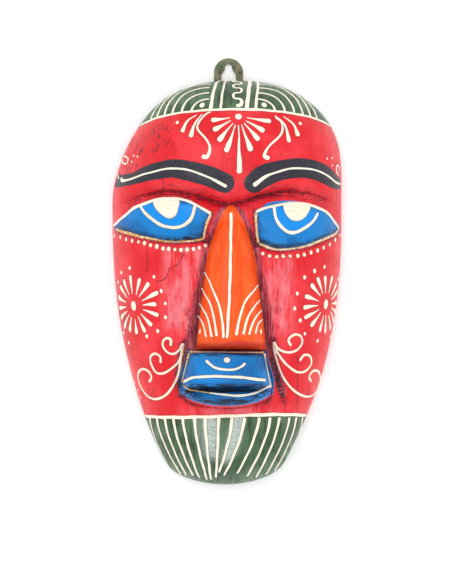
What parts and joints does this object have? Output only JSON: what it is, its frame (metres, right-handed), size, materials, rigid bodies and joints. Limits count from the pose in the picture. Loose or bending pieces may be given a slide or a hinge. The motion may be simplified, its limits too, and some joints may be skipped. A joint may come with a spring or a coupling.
{
  "type": "painted wooden wall mask",
  "caption": "Hand-carved hollow-backed wooden wall mask with brows, wedge nose and block mouth, and a sheet-metal keyhole hanger let into the back of the crown.",
  "frame": {"origin": "on the plane of the flat back, under the middle of the whole mask, hanger included", "axes": "+X to the right of someone facing the mask, +Y from chin to crown, +Z out of the face; the mask lies on its back"},
  "size_m": [0.1648, 0.3052, 0.0804],
  "materials": {
    "painted_wood": "glossy hand-painted enamel with raised ivory lines, worn edges, bare dark wood inside the hollow",
    "hanger_metal": "mottled olive-brown tarnish",
    "screw_steel": "dull, lightly rusted"
  },
  "bodies": {
    "root": {"carved_face": "painted_wood", "hanger_plate": "hanger_metal", "hanger_screw_left": "screw_steel", "hanger_screw_right": "screw_steel"}
  },
  "joints": []
}
